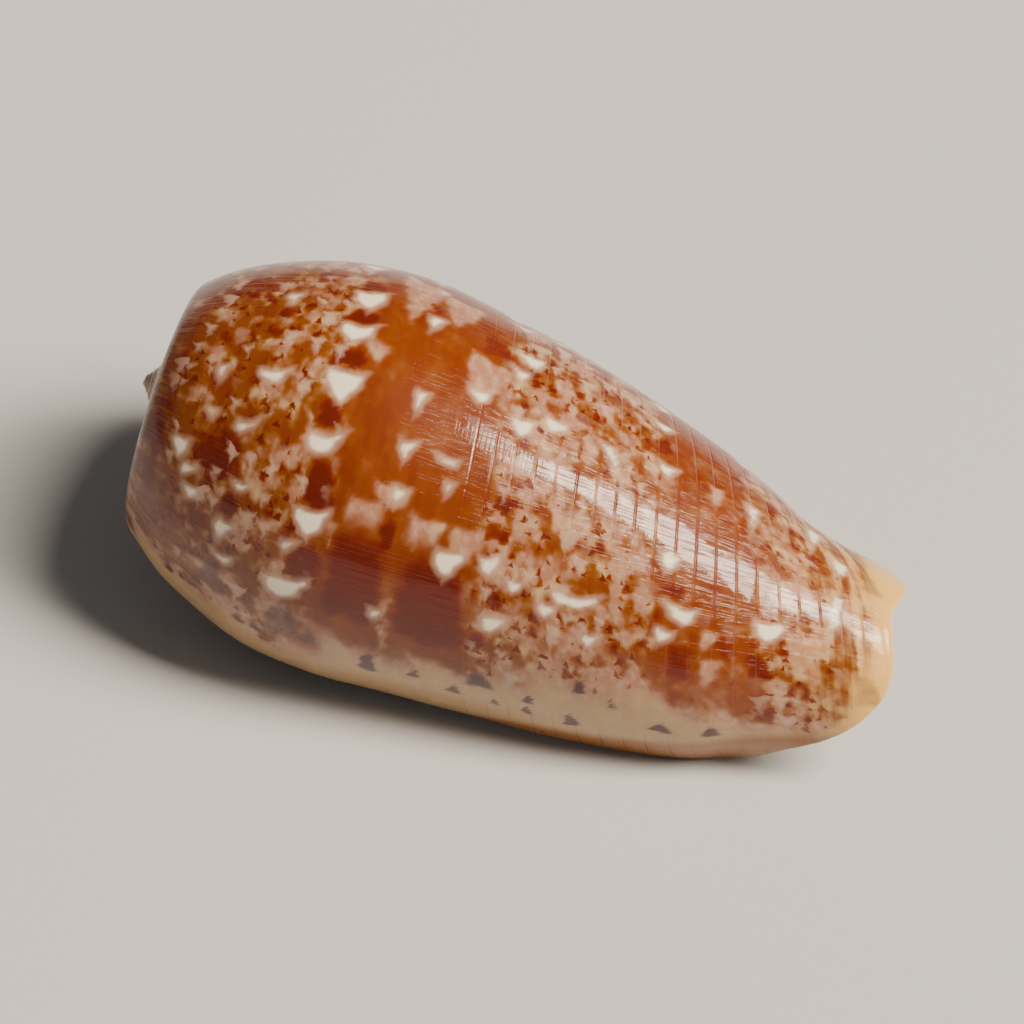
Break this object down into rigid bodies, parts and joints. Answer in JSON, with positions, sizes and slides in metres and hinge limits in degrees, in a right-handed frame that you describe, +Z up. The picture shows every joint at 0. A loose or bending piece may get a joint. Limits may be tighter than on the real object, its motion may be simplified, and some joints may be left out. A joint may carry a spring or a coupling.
{
  "type": "cone shell",
  "caption": "Glossy cone shell with a swollen body whorl, a low coiled spire with a small pointed apex, and a long flared aperture, lying aperture down.",
  "frame": {"origin": "centre of the bounding box's base, on the surface that the shell rests on", "axes": "+X from the spire to the anterior end, +Z up, -Y towards the outer lip"},
  "size_m": [0.0636, 0.0314, 0.0282],
  "materials": {
    "shell": "glossy mottled chestnut, lilac and white"
  },
  "bodies": {
    "root": {"shell": "shell"}
  },
  "joints": []
}
